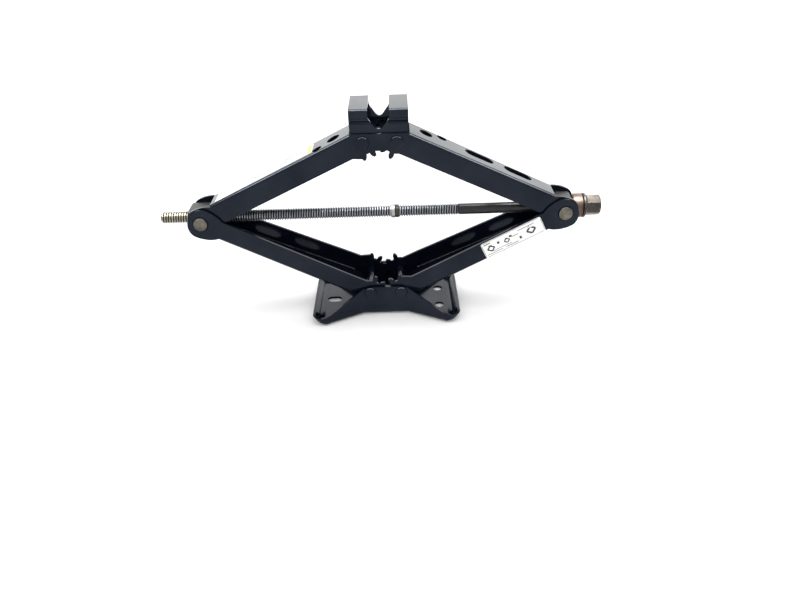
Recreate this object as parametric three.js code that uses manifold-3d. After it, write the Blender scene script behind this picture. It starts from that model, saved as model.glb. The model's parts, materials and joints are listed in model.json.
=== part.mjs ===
// Scissor jack: a pressed base, four channel arms geared together at the base and saddle pivots,
// a lead screw held by a thrust bearing in the right trunnion and threaded through the left one,
// and a slotted saddle.
// Frame: origin at the centre of the base's underside, +X along the screw to the drive head, +Z up, mm.
import * as THREE from "three";
import { mergeVertices } from "three/addons/utils/BufferGeometryUtils.js";
import Module from "manifold-3d";

const wasm = await Module();
wasm.setup();

// ---- driving dimensions ----
const GAP = 0.3;
// how far a cutting tool runs past the sheet it cuts
const OVERCUT = 1;
const SHEET = 2.8;
const ARM_LENGTH = 218;
const PIVOT_SPACING = 38;
const BASE_PIVOT_Z = 31;
const REST_ANGLE = THREE.MathUtils.degToRad(25.7);
const TOP_ANGLE = THREE.MathUtils.degToRad(65);

const HALF_SPACING = PIVOT_SPACING / 2;
const TRUNNION_X = HALF_SPACING + ARM_LENGTH * Math.cos(REST_ANGLE);
const TRUNNION_Z = BASE_PIVOT_Z + ARM_LENGTH * Math.sin(REST_ANGLE);
const SADDLE_PIVOT_Z = BASE_PIVOT_Z + 2 * ARM_LENGTH * Math.sin(REST_ANGLE);

const RIVET = { radius: 5, headRadius: 7.4, headHeight: 2.2, chamfer: 1 };
const TRUNNION_PIN_RADIUS = 8.2;
const PIN_PROUD = 2.2;

const TRUNNION_BLOCK = { halfX: 16, halfY: 15.2, halfZ: 13, chamfer: 3 };
const THRUST_BLOCK_RIGHT = 10.2;
const JOURNAL_ROOT = 0.5;

// outer half widths at the trunnion ear and at the geared end, flange edges either side of the pivot line
const UPPER = {
  earHalf: TRUNNION_BLOCK.halfY + GAP + SHEET,
  gearHalf: 22,
  webEdge: 13.5,
  openEdge: -12.5,
  lobe: { outward: 15, inward: 29, across: 17.5 },
  webFrom: 10,
  webTo: 21,
  slots: [99.5, 150.5],
  slotShape: { length: 37, width: 16, y: 4.5 },
};
const LOWER = {
  earHalf: UPPER.earHalf + GAP + SHEET,
  gearHalf: 30.5,
  webEdge: 12,
  openEdge: -12,
  lobe: { outward: 15.2, inward: 30, across: 18.5 },
  webFrom: 20,
  webTo: 24,
  slots: [85, 138],
  slotShape: { length: 35, width: 22, y: 0 },
};
const EAR_LENGTH = 30;
const GEAR_END_LENGTH = 25;

const WEB_HOLE = { x: 31, y: 4, diameter: 16 };
const EDGE_HOLE = { x: 51.5, y: 12, diameter: 12 };

// coarse gear on each arm end: ten teeth to a full circle, meshing at half the pivot spacing
const GEAR = {
  teeth: 10,
  teethPerFlange: 4,
  pressureAngle: THREE.MathUtils.degToRad(25),
  addendum: 3,
  dedendum: 4,
  backlash: 0.7,
  toothRoot: 2,
};

// the far flange runs straight into its first tooth: (x, z) corners of that widened edge
const FAR_FLANGE_WIDENING = [
  [22, -11],
  [9.5, -17.8],
  [7.5, -20.3],
  [3, -13],
  [3, -8],
  [22, -8],
];

// at rest a tooth of each near flange stands this far round from straight up or down,
// towards the other arm
const REST_TOOTH = THREE.MathUtils.degToRad(22);
const NEAR_TOOTH = REST_ANGLE - Math.PI / 2 - REST_TOOTH;

const BASE_SHEET = 3;
const BASE = {
  halfLength: 91,
  waistHalfLength: 27,
  waistHalfWidth: LOWER.gearHalf + GAP + BASE_SHEET,
  endHalfWidth: 58,
  endFlat: 17,
  cornerRadius: 12,
  wallTop: 39,
  wallTopHalf: 23,
  endWallTop: 10,
};
const BASE_SLOT = { x: -67, length: 19, width: 12.5 };
const BASE_HOLE = { x: 67, y: 20, radius: 6 };

const SADDLE_SHEET = 3;
const SADDLE_JOGGLE = 1;
const SADDLE_BULGE = 4;
const SADDLE = {
  halfLength: 32.5,
  towerHalf: UPPER.gearHalf + GAP + SADDLE_SHEET + SADDLE_BULGE,
  flangeHalf: UPPER.gearHalf + GAP + SADDLE_SHEET + SADDLE_JOGGLE,
  top: 38,
  shoulder: 10.8,
  bottom: -9.3,
  cornerRadius: 5,
  slotHalf: 11.75,
  slotStraight: 11,
  slotSlope: 20.2,
  slotFoot: 22.6,
  slotFootHalf: 4.2,
};

const SCREW = {
  radius: 7,
  boreGap: 0.35,
  overhang: 51,
  endChamfer: 1.4,
  shankRadius: 6.6,
  threadEnd: 92,
  spigotRadius: 5,
};
const STOP_RING = { length: 6, radius: 8.3, crimpLength: 4, crimpRadius: 7.9 };
const BEARING = {
  cupLeft: 10.5,
  cupRight: 22.4,
  cupRadius: 14.4,
  cupWall: 1.4,
  boreRadius: 7.4,
  raceRadius: 12.6,
  raceThickness: 2.4,
  ballRadius: 2,
  ballCircle: 9.9,
  balls: 10,
  cageThickness: 1.4,
  cageBore: 6.95,
};
const DRIVE_HEAD = {
  bossLength: 1,
  bossRadius: 10,
  flangeLength: 4.6,
  flangeRadius: 14.7,
  hexAcross: 22,
  hexLength: 16.5,
  hexRoot: 0.5,
  chamfer: 1.6,
  flangeChamfer: 1,
  cornerAngle: THREE.MathUtils.degToRad(24),
};

const LABEL_THICKNESS = 0.3;
const SIDE_LABEL = { from: 111, to: 190, margin: 1 };
const TOP_LABEL = { from: 57, to: 191, halfWidth: 14.5 };

// ---- materials ----
const finish = (color, roughness, metalness) =>
  new THREE.MeshStandardMaterial({ color, roughness, metalness });
const paint = () => finish(0x2b3440, 0.35, 0.3);
const bareSteel = () => finish(0x8f8b82, 0.45, 0.9);
const darkSteel = () => finish(0x4c5157, 0.4, 0.9);
const zinc = () => finish(0xcfd2d4, 0.3, 0.9);
const copperSteel = () => finish(0xa98d78, 0.5, 0.7);
const paper = () => finish(0xf2f2ee, 0.5, 0);

// ---- solids ----
function toSolid(geometry) {
  const bare = geometry.index ? geometry.toNonIndexed() : geometry.clone();
  bare.deleteAttribute("normal");
  bare.deleteAttribute("uv");
  const merged = mergeVertices(bare, 1e-4);
  return new wasm.Manifold(
    new wasm.Mesh({
      numProp: 3,
      vertProperties: new Float32Array(merged.attributes.position.array),
      triVerts: new Uint32Array(merged.index.array),
    }),
  );
}

function toGeometry(solid) {
  const mesh = solid.getMesh();
  const geometry = new THREE.BufferGeometry();
  const points = new THREE.BufferAttribute(new Float32Array(mesh.vertProperties), 3);
  geometry.setAttribute("position", points);
  geometry.setIndex(new THREE.BufferAttribute(new Uint32Array(mesh.triVerts), 1));
  return geometry;
}

const join = (solids) => solids.reduce((whole, next) => whole.add(next));
const cut = (solid, tools) => tools.reduce((left, tool) => left.subtract(tool), solid);

// a shape drawn in (x, z), made solid between two y planes
function sideSlab(shape, yLow, yHigh, curveSegments = 12) {
  const depth = yHigh - yLow;
  const geometry = new THREE.ExtrudeGeometry(shape, { depth, bevelEnabled: false, curveSegments });
  return geometry.rotateX(Math.PI / 2).translate(0, yHigh, 0);
}

// a shape drawn in (x, y), made solid between two z planes
function planSlab(shape, zLow, zHigh, curveSegments = 12) {
  const depth = zHigh - zLow;
  const geometry = new THREE.ExtrudeGeometry(shape, { depth, bevelEnabled: false, curveSegments });
  return geometry.translate(0, 0, zLow);
}

function box(xLow, xHigh, yLow, yHigh, zLow, zHigh) {
  const geometry = new THREE.BoxGeometry(xHigh - xLow, yHigh - yLow, zHigh - zLow);
  return geometry.translate((xLow + xHigh) / 2, (yLow + yHigh) / 2, (zLow + zHigh) / 2);
}

function polygon(points) {
  return new THREE.Shape(points.map(([u, v]) => new THREE.Vector2(u, v)));
}

function rodAlongY(radius, yLow, yHigh, x, z, segments = 24) {
  const rod = new THREE.CylinderGeometry(radius, radius, yHigh - yLow, segments);
  return rod.translate(x, (yLow + yHigh) / 2, z);
}

function rodAlongZ(radius, zLow, zHigh, x, y, segments = 24) {
  const rod = new THREE.CylinderGeometry(radius, radius, zHigh - zLow, segments).rotateX(Math.PI / 2);
  return rod.translate(x, y, (zLow + zHigh) / 2);
}

// a solid of revolution about the X axis from (x, radius) corners,
// which start and end on the axis or close up
function turned(corners, segments = 32) {
  const points = corners.map(([x, radius]) => new THREE.Vector2(radius, x));
  return new THREE.LatheGeometry(points, segments).rotateZ(-Math.PI / 2);
}

function obround(length, width, x, y) {
  const radius = width / 2;
  const reach = length / 2 - radius;
  const shape = new THREE.Shape();
  shape.absarc(x + reach, y, radius, -Math.PI / 2, Math.PI / 2, false);
  shape.absarc(x - reach, y, radius, Math.PI / 2, (3 * Math.PI) / 2, false);
  return shape;
}

function circle(diameter, x, y) {
  return new THREE.Shape().absarc(x, y, diameter / 2, 0, 2 * Math.PI, false);
}

function part(name, geometry, material, x = 0, y = 0, z = 0) {
  const mesh = new THREE.Mesh(geometry, material);
  mesh.name = name;
  mesh.position.set(x, y, z);
  return mesh;
}

// ---- arms: local +X runs from the geared pivot to the trunnion, the web is on the +Z side ----
function flareHalf(arm, x) {
  const flareStart = GEAR_END_LENGTH;
  const flareEnd = ARM_LENGTH - EAR_LENGTH;
  const share = THREE.MathUtils.clamp((x - flareStart) / (flareEnd - flareStart), 0, 1);
  return arm.gearHalf + (arm.earHalf - arm.gearHalf) * share;
}

function involutePoint(baseRadius, radius, side, centreAngle, halfAngleAtBase) {
  const roll = Math.sqrt(Math.max((radius / baseRadius) ** 2 - 1, 0));
  const angle = centreAngle + side * (halfAngleAtBase - (roll - Math.atan(roll)));
  return [radius * Math.cos(angle), radius * Math.sin(angle)];
}

function toothShape(centreAngle) {
  const pitchRadius = HALF_SPACING;
  const baseRadius = pitchRadius * Math.cos(GEAR.pressureAngle);
  const rootRadius = pitchRadius - GEAR.dedendum;
  const tipRadius = pitchRadius + GEAR.addendum;
  const involuteAtPitch = Math.tan(GEAR.pressureAngle) - GEAR.pressureAngle;
  const halfAtPitch = Math.PI / GEAR.teeth / 2 - GEAR.backlash / 4 / pitchRadius;
  const halfAtBase = halfAtPitch + involuteAtPitch;
  const root = rootRadius - GEAR.toothRoot;
  const radii = [root, baseRadius, pitchRadius, (pitchRadius + tipRadius) / 2, tipRadius];
  const flank = (side) => radii.map((r) => involutePoint(baseRadius, r, side, centreAngle, halfAtBase));
  const right = flank(-1);
  const left = flank(1).reverse();
  return polygon([...right, ...left]);
}

function gearEnd(arm, firstTooth, isFar, yLow, yHigh) {
  const rootDisc = new THREE.Shape().absarc(0, 0, HALF_SPACING - GEAR.dedendum, 0, 2 * Math.PI, false);
  const strip = polygon([
    [0, arm.openEdge],
    [GEAR_END_LENGTH, arm.openEdge],
    [GEAR_END_LENGTH, arm.webEdge],
    [0, arm.webEdge],
  ]);
  const toothPitch = (2 * Math.PI) / GEAR.teeth;
  const steps = [...Array(GEAR.teethPerFlange).keys()];
  const teeth = steps.map((step) => toothShape(firstTooth - step * toothPitch));
  const widening = isFar ? [polygon(FAR_FLANGE_WIDENING)] : [];
  const shapes = [strip, rootDisc, ...widening, ...teeth];
  return join(shapes.map((shape) => toSolid(sideSlab(shape, yLow, yHigh))));
}

function trunnionEar(arm, yLow, yHigh) {
  const { outward, inward, across } = arm.lobe;
  const lobe = new THREE.Shape();
  lobe.absellipse(ARM_LENGTH, 0, outward, across, -Math.PI / 2, Math.PI / 2, false);
  lobe.absellipse(ARM_LENGTH, 0, inward, across, Math.PI / 2, (3 * Math.PI) / 2, false);
  const start = ARM_LENGTH - EAR_LENGTH;
  const strip = polygon([
    [start, arm.openEdge],
    [ARM_LENGTH, arm.openEdge],
    [ARM_LENGTH, arm.webEdge],
    [start, arm.webEdge],
  ]);
  return join([lobe, strip].map((shape) => toSolid(sideSlab(shape, yLow, yHigh))));
}

// the tapering middle of a flange: a box whose y faces follow the arm's half width
function taperedWall(arm, side) {
  const wall = box(GEAR_END_LENGTH, ARM_LENGTH - EAR_LENGTH, -SHEET, 0, arm.openEdge, arm.webEdge);
  return toSolid(followFlare(wall, arm, side, side > 0 ? 0 : SHEET));
}

// moves each vertex outward by the arm's half width at its place along the arm
function followFlare(geometry, arm, side, offset) {
  const position = geometry.attributes.position;
  for (let i = 0; i < position.count; i++) {
    const half = flareHalf(arm, position.getX(i));
    position.setY(i, side * half + position.getY(i) + offset);
  }
  return geometry;
}

function flange(arm, side, firstTooth) {
  const sorted = (a, b) => (a < b ? [a, b] : [b, a]);
  const atGear = sorted(side * arm.gearHalf, side * (arm.gearHalf - SHEET));
  const atEar = sorted(side * arm.earHalf, side * (arm.earHalf - SHEET));
  const geared = gearEnd(arm, firstTooth, side > 0, ...atGear);
  return join([geared, taperedWall(arm, side), trunnionEar(arm, ...atEar)]);
}

function web(arm) {
  const stations = [arm.webFrom, GEAR_END_LENGTH, ARM_LENGTH - EAR_LENGTH, ARM_LENGTH - arm.webTo];
  const near = stations.map((x) => [x, -flareHalf(arm, x)]);
  const far = stations.map((x) => [x, flareHalf(arm, x)]).reverse();
  return toSolid(planSlab(polygon([...near, ...far]), arm.webEdge - SHEET, arm.webEdge));
}

function pivotHoles(arm) {
  const reach = arm.gearHalf + OVERCUT;
  return [
    toSolid(rodAlongY(RIVET.radius + GAP, -reach, reach, 0, 0)),
    toSolid(rodAlongY(TRUNNION_PIN_RADIUS + GAP, -reach, reach, ARM_LENGTH, 0, 32)),
  ];
}

function webHole(arm, shape) {
  return toSolid(planSlab(shape, arm.webEdge - SHEET - OVERCUT, arm.webEdge + OVERCUT, 6));
}

// the far flange's teeth sit half a tooth from the near flange's,
// so two equal arms mesh when turned end for end
function armSolid(arm, holes) {
  const farTooth = NEAR_TOOTH + Math.PI / GEAR.teeth;
  const blank = join([web(arm), flange(arm, -1, NEAR_TOOTH), flange(arm, 1, farTooth)]);
  return cut(blank, [...pivotHoles(arm), ...holes.map((shape) => webHole(arm, shape))]);
}

function webSlots(arm) {
  const { length, width, y } = arm.slotShape;
  return arm.slots.map((x) => obround(length, width, x, y));
}

function upperArm() {
  const round = circle(WEB_HOLE.diameter, WEB_HOLE.x, WEB_HOLE.y);
  const atEdge = circle(EDGE_HOLE.diameter, EDGE_HOLE.x, EDGE_HOLE.y);
  return toGeometry(armSolid(UPPER, [round, atEdge, ...webSlots(UPPER)]));
}

function lowerArm() {
  return toGeometry(armSolid(LOWER, webSlots(LOWER)));
}

// ---- trunnions ----
function trunnion(xLow, xHigh, boreRadius) {
  const { halfY, halfZ, chamfer } = TRUNNION_BLOCK;
  const outline = polygon([
    [xLow + chamfer, -halfZ],
    [xHigh - chamfer, -halfZ],
    [xHigh, -halfZ + chamfer],
    [xHigh, halfZ - chamfer],
    [xHigh - chamfer, halfZ],
    [xLow + chamfer, halfZ],
    [xLow, halfZ - chamfer],
    [xLow, -halfZ + chamfer],
  ]);
  const journalEnd = LOWER.earHalf + PIN_PROUD;
  const block = toSolid(sideSlab(outline, -halfY, halfY));
  const journalRoot = halfY - JOURNAL_ROOT;
  const nearJournal = toSolid(rodAlongY(TRUNNION_PIN_RADIUS, -journalEnd, -journalRoot, 0, 0, 32));
  const farJournal = toSolid(rodAlongY(TRUNNION_PIN_RADIUS, journalRoot, journalEnd, 0, 0, 32));
  const reach = TRUNNION_BLOCK.halfX + OVERCUT;
  const bore = new THREE.CylinderGeometry(boreRadius, boreRadius, 2 * reach, 32).rotateZ(Math.PI / 2);
  return toGeometry(cut(join([block, nearJournal, farJournal]), [toSolid(bore)]));
}

// ---- screw, its bearing and its head, x measured from the right trunnion's axis ----
function leadScrew() {
  const left = -(2 * TRUNNION_X + SCREW.overhang);
  const threadEnd = SCREW.threadEnd - TRUNNION_X;
  const chamfer = SCREW.endChamfer;
  const headEnd = BEARING.cupRight + headLength();
  return turned([
    [left, 0],
    [left, SCREW.radius - chamfer],
    [left + chamfer, SCREW.radius],
    [threadEnd, SCREW.radius],
    [threadEnd + chamfer, SCREW.shankRadius],
    [BEARING.cupRight, SCREW.shankRadius],
    [BEARING.cupRight, SCREW.spigotRadius],
    [headEnd, SCREW.spigotRadius],
    [headEnd, 0],
  ]);
}

function ring(xLow, xHigh, innerRadius, outerRadius, segments = 32) {
  const corners = [
    [xLow, innerRadius],
    [xLow, outerRadius],
    [xHigh, outerRadius],
    [xHigh, innerRadius],
    [xLow, innerRadius],
  ];
  return turned(corners, segments);
}

function stopRing() {
  const topSpan = 2 * (HALF_SPACING + ARM_LENGTH * Math.cos(TOP_ANGLE));
  const left = -(topSpan - TRUNNION_BLOCK.halfX - GAP);
  const crimp = left + STOP_RING.length;
  const right = crimp + STOP_RING.crimpLength;
  const bore = SCREW.radius + SCREW.boreGap;
  return turned([
    [left, bore],
    [left, STOP_RING.radius],
    [crimp, STOP_RING.radius],
    [crimp, STOP_RING.crimpRadius],
    [right, STOP_RING.crimpRadius],
    [right, bore],
    [left, bore],
  ]);
}

function bearingCup() {
  const { cupLeft, cupRight, cupRadius, cupWall, boreRadius } = BEARING;
  return turned([
    [cupLeft, boreRadius],
    [cupLeft, cupRadius],
    [cupRight, cupRadius],
    [cupRight, cupRadius - cupWall],
    [cupLeft + cupWall, cupRadius - cupWall],
    [cupLeft + cupWall, boreRadius],
    [cupLeft, boreRadius],
  ]);
}

const FIXED_RACE_LEFT = BEARING.cupLeft + BEARING.cupWall + GAP;
const BALL_X = FIXED_RACE_LEFT + BEARING.raceThickness + GAP + BEARING.ballRadius;
const TURNING_RACE_LEFT = BALL_X + BEARING.ballRadius + GAP;

function race(left) {
  return ring(left, left + BEARING.raceThickness, BEARING.boreRadius, BEARING.raceRadius);
}

function ballCentre(index) {
  const turn = (2 * Math.PI * index) / BEARING.balls;
  return [BALL_X, BEARING.ballCircle * Math.cos(turn), BEARING.ballCircle * Math.sin(turn)];
}

function ballCage() {
  const half = BEARING.cageThickness / 2;
  const blank = toSolid(ring(BALL_X - half, BALL_X + half, BEARING.cageBore, BEARING.raceRadius, 40));
  const pocket = BEARING.ballRadius + GAP;
  const pockets = [...Array(BEARING.balls).keys()].map((index) => {
    const rod = new THREE.CylinderGeometry(pocket, pocket, 2 * BEARING.cageThickness, 16);
    return toSolid(rod.rotateZ(Math.PI / 2).translate(...ballCentre(index)));
  });
  return toGeometry(cut(blank, pockets));
}

function headLength() {
  return DRIVE_HEAD.bossLength + DRIVE_HEAD.flangeLength + DRIVE_HEAD.hexLength;
}

function driveHead() {
  const left = BEARING.cupRight + GAP;
  const flangeLeft = left + DRIVE_HEAD.bossLength;
  const hexLeft = flangeLeft + DRIVE_HEAD.flangeLength;
  const right = left + headLength();
  const cornerRadius = DRIVE_HEAD.hexAcross / Math.sqrt(3);
  const hexLength = DRIVE_HEAD.hexLength + DRIVE_HEAD.hexRoot;
  const around = cornerRadius + OVERCUT;
  const { chamfer, flangeRadius, flangeChamfer } = DRIVE_HEAD;
  const hex = new THREE.CylinderGeometry(cornerRadius, cornerRadius, hexLength, 6).rotateZ(Math.PI / 2);
  hex.rotateX(DRIVE_HEAD.cornerAngle).translate(right - hexLength / 2, 0, 0);
  const chamfered = turned([
    [flangeLeft, 0],
    [flangeLeft, around],
    [right - chamfer, around],
    [right, cornerRadius - chamfer],
    [right, 0],
  ]);
  const flange = turned([
    [left, 0],
    [left, DRIVE_HEAD.bossRadius],
    [flangeLeft, DRIVE_HEAD.bossRadius],
    [flangeLeft, flangeRadius],
    [hexLeft - flangeChamfer, flangeRadius],
    [hexLeft, flangeRadius - flangeChamfer],
    [hexLeft, 0],
  ]);
  const bore = ring(left - OVERCUT, right + OVERCUT, 0, SCREW.spigotRadius + GAP, 24);
  const head = toSolid(flange).add(toSolid(hex).intersect(toSolid(chamfered)));
  return toGeometry(cut(head, [toSolid(bore)]));
}

// ---- rivets: a shank through both flanges with a head at each end ----
function pivotRivet(flangeHalf) {
  const under = flangeHalf + GAP;
  const end = under + RIVET.headHeight;
  const crown = RIVET.headRadius - RIVET.chamfer;
  const profile = [
    [-end, 0],
    [-end, crown],
    [-end + RIVET.chamfer, RIVET.headRadius],
    [-under, RIVET.headRadius],
    [-under, RIVET.radius],
    [under, RIVET.radius],
    [under, RIVET.headRadius],
    [end - RIVET.chamfer, RIVET.headRadius],
    [end, crown],
    [end, 0],
  ];
  return turned(profile).rotateZ(Math.PI / 2);
}

// ---- base ----
function basePlan(inset) {
  const { halfLength, waistHalfLength, waistHalfWidth, endHalfWidth, endFlat, cornerRadius } = BASE;
  const slope = Math.atan2(endHalfWidth - waistHalfWidth, halfLength - endFlat - waistHalfLength);
  const waist = waistHalfWidth - inset;
  const kink = waistHalfLength + inset * Math.tan(slope / 2);
  const end = halfLength - inset;
  const wide = endHalfWidth - inset;
  const shoulder = halfLength - endFlat + inset * Math.tan(slope / 2);
  const radius = cornerRadius - inset;
  const shape = new THREE.Shape();
  shape.moveTo(-kink, -waist).lineTo(kink, -waist).lineTo(shoulder, -wide);
  shape.lineTo(end - radius, -wide).absarc(end - radius, -wide + radius, radius, -Math.PI / 2, 0, false);
  shape.absarc(end - radius, wide - radius, radius, 0, Math.PI / 2, false).lineTo(shoulder, wide);
  shape.lineTo(kink, waist).lineTo(-kink, waist).lineTo(-shoulder, wide);
  shape.lineTo(-end + radius, wide);
  shape.absarc(-end + radius, wide - radius, radius, Math.PI / 2, Math.PI, false);
  shape.absarc(-end + radius, -wide + radius, radius, Math.PI, 1.5 * Math.PI, false);
  return shape.lineTo(-shoulder, -wide);
}

function basePlate() {
  const { halfLength, wallTop, wallTopHalf, endHalfWidth, endWallTop, endFlat } = BASE;
  const shoulder = halfLength - endFlat;
  const outer = toSolid(planSlab(basePlan(0), 0, wallTop, 6));
  const inner = toSolid(planSlab(basePlan(BASE_SHEET), BASE_SHEET, wallTop + OVERCUT, 6));
  const end = halfLength + OVERCUT;
  const wide = endHalfWidth + OVERCUT;
  const wallProfile = polygon([
    [-end, -OVERCUT],
    [end, -OVERCUT],
    [end, endWallTop],
    [shoulder, endWallTop],
    [wallTopHalf, wallTop],
    [-wallTopHalf, wallTop],
    [-shoulder, endWallTop],
    [-end, endWallTop],
  ]);
  const envelope = toSolid(sideSlab(wallProfile, -wide, wide));
  const over = BASE_SHEET + OVERCUT;
  const slotShape = obround(BASE_SLOT.length, BASE_SLOT.width, BASE_SLOT.x, 0);
  const slot = toSolid(planSlab(slotShape, -OVERCUT, over, 6));
  const holes = [-1, 1].map((side) =>
    toSolid(rodAlongZ(BASE_HOLE.radius, -OVERCUT, over, BASE_HOLE.x, side * BASE_HOLE.y, 20)),
  );
  const reach = endHalfWidth;
  const pivots = [-1, 1].map((side) =>
    toSolid(rodAlongY(RIVET.radius + GAP, -reach, reach, side * HALF_SPACING, BASE_PIVOT_Z)),
  );
  return toGeometry(cut(outer.subtract(inner).intersect(envelope), [slot, ...holes, ...pivots]));
}

// ---- saddle, z measured from the saddle pivots ----
function saddleOutline() {
  const { halfLength, top, bottom, cornerRadius } = SADDLE;
  const left = -halfLength;
  const shape = new THREE.Shape();
  shape.moveTo(left, top).lineTo(left, bottom + cornerRadius);
  shape.absarc(left + cornerRadius, bottom + cornerRadius, cornerRadius, Math.PI, 1.5 * Math.PI, false);
  shape.absarc(halfLength - cornerRadius, bottom + cornerRadius, cornerRadius, -Math.PI / 2, 0, false);
  return shape.lineTo(halfLength, top);
}

function saddleSlot(reach) {
  const { top, slotHalf, slotStraight, slotSlope, slotFoot, slotFootHalf } = SADDLE;
  const shape = new THREE.Shape();
  shape.moveTo(slotHalf, top + OVERCUT).lineTo(-slotHalf, top + OVERCUT);
  shape.lineTo(-slotHalf, top - slotStraight).lineTo(-slotFootHalf, top - slotSlope);
  shape.quadraticCurveTo(0, top - 2 * slotFoot + slotSlope, slotFootHalf, top - slotSlope);
  shape.lineTo(slotHalf, top - slotStraight);
  return toSolid(sideSlab(shape, -reach, reach, 16));
}

// a box that runs past both ends of the saddle, for its walls and for the room between them
function saddleRun(half, low, high) {
  const wide = SADDLE.halfLength + OVERCUT;
  return toSolid(box(-wide, wide, -half, half, low, high));
}

function saddle() {
  const { towerHalf, flangeHalf, top, shoulder, bottom } = SADDLE;
  const sheet = SADDLE_SHEET;
  const reach = flangeHalf + OVERCUT;
  const walls = saddleRun(towerHalf, shoulder, top).add(saddleRun(flangeHalf, bottom, shoulder + sheet));
  const towerRoom = saddleRun(towerHalf - sheet, bottom - OVERCUT, top - sheet);
  const skirtRoom = saddleRun(flangeHalf - sheet, bottom - OVERCUT, shoulder);
  const channel = walls.subtract(towerRoom).subtract(skirtRoom);
  const pivots = [-1, 1].map((side) =>
    toSolid(rodAlongY(RIVET.radius + GAP, -reach, reach, side * HALF_SPACING, 0)),
  );
  const outlined = channel.intersect(toSolid(sideSlab(saddleOutline(), -reach, reach, 5)));
  return toGeometry(cut(outlined, [saddleSlot(reach), ...pivots]));
}

// ---- labels ----
function flangeLabel() {
  const { from, to, margin } = SIDE_LABEL;
  const film = box(from, to, 0, LABEL_THICKNESS, LOWER.openEdge + margin, LOWER.webEdge - margin);
  return followFlare(film, LOWER, 1, GAP);
}

function webLabel() {
  const { from, to, halfWidth } = TOP_LABEL;
  const bottom = UPPER.webEdge + GAP;
  return box(from, to, -halfWidth, halfWidth, bottom, bottom + LABEL_THICKNESS);
}

// ---- assembly ----
function placed(children, place) {
  const group = new THREE.Group();
  group.add(...children);
  place(group);
  return group;
}

// an arm's group sits at its geared pivot on the right; the left arms are the same group turned about Z
function lowerPlace(group) {
  group.position.set(HALF_SPACING, 0, BASE_PIVOT_Z);
  group.rotation.set(Math.PI, -REST_ANGLE, 0, "YXZ");
}

function upperPlace(group) {
  group.position.set(HALF_SPACING, 0, SADDLE_PIVOT_Z);
  group.rotation.set(0, REST_ANGLE, 0);
}

const turnedAbout = (child) => placed([child], (group) => group.rotation.set(0, 0, Math.PI));

const jack = new THREE.Group();
jack.name = "scissor_jack";

jack.add(part("base_plate", basePlate(), paint()));
for (const [side, x] of [["left", -HALF_SPACING], ["right", HALF_SPACING]]) {
  const baseRivet = pivotRivet(BASE.waistHalfWidth);
  jack.add(part(`base_pivot_rivet_${side}`, baseRivet, paint(), x, 0, BASE_PIVOT_Z));
  const saddleRivet = pivotRivet(SADDLE.flangeHalf);
  jack.add(part(`saddle_pivot_rivet_${side}`, saddleRivet, paint(), x, 0, SADDLE_PIVOT_Z));
}

const lowerRight = [
  part("lower_arm_right", lowerArm(), paint()),
  part("side_label", flangeLabel(), paper()),
];
jack.add(placed(lowerRight, lowerPlace));
jack.add(turnedAbout(placed([part("lower_arm_left", lowerArm(), paint())], lowerPlace)));

const upperLeft = [
  part("upper_arm_left", upperArm(), paint()),
  part("top_label", webLabel(), paper()),
];
jack.add(placed([part("upper_arm_right", upperArm(), paint())], upperPlace));
jack.add(turnedAbout(placed(upperLeft, upperPlace)));

const { halfX } = TRUNNION_BLOCK;
const nutBore = SCREW.radius + SCREW.boreGap;
jack.add(part("screw_nut", trunnion(-halfX, halfX, nutBore), bareSteel(), -TRUNNION_X, 0, TRUNNION_Z));

const thrustBore = SCREW.shankRadius + SCREW.boreGap;
const screwEnd = [
  part("thrust_trunnion", trunnion(-halfX, THRUST_BLOCK_RIGHT, thrustBore), bareSteel()),
  part("bearing_cup", bearingCup(), copperSteel()),
  part("fixed_race", race(FIXED_RACE_LEFT), bareSteel()),
  part("ball_cage", ballCage(), copperSteel()),
  part("turning_race", race(TURNING_RACE_LEFT), bareSteel()),
  part("lead_screw", leadScrew(), darkSteel()),
  part("stop_ring", stopRing(), zinc()),
  part("drive_head", driveHead(), bareSteel()),
];
for (let index = 0; index < BEARING.balls; index++) {
  const ball = new THREE.SphereGeometry(BEARING.ballRadius, 12, 8);
  screwEnd.push(part(`bearing_ball_${index + 1}`, ball, bareSteel(), ...ballCentre(index)));
}
jack.add(placed(screwEnd, (group) => group.position.set(TRUNNION_X, 0, TRUNNION_Z)));

jack.add(part("saddle", saddle(), paint(), 0, 0, SADDLE_PIVOT_Z));

export default jack;
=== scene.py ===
"""Scissor jack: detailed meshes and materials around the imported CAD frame. Lengths inside are millimetres."""
import contextlib
import json
import math

import bmesh
import bpy
from mathutils import Matrix, Vector


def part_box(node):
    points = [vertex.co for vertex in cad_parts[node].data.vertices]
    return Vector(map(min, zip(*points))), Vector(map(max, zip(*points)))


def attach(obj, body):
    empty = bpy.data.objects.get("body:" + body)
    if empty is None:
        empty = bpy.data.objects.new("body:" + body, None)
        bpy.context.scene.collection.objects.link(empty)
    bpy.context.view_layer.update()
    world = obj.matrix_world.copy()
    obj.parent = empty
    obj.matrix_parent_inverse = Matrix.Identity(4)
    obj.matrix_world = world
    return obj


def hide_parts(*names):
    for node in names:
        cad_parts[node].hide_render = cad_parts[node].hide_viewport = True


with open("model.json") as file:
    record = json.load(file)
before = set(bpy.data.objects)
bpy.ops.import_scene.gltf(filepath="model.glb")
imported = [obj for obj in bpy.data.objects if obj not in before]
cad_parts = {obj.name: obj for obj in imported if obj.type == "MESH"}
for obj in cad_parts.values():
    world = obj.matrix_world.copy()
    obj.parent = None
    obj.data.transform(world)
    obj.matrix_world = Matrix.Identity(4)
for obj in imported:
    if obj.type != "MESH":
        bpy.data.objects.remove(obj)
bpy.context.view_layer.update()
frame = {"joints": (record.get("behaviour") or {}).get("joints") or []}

MM = 0.001
JOINTS = {joint["name"]: Vector(joint["pos_m"]) / MM for joint in frame["joints"]}
BASE_PIVOT = JOINTS["base_to_lower_right"]
TRUNNION = JOINTS["lower_right_to_upper_right"]
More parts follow.
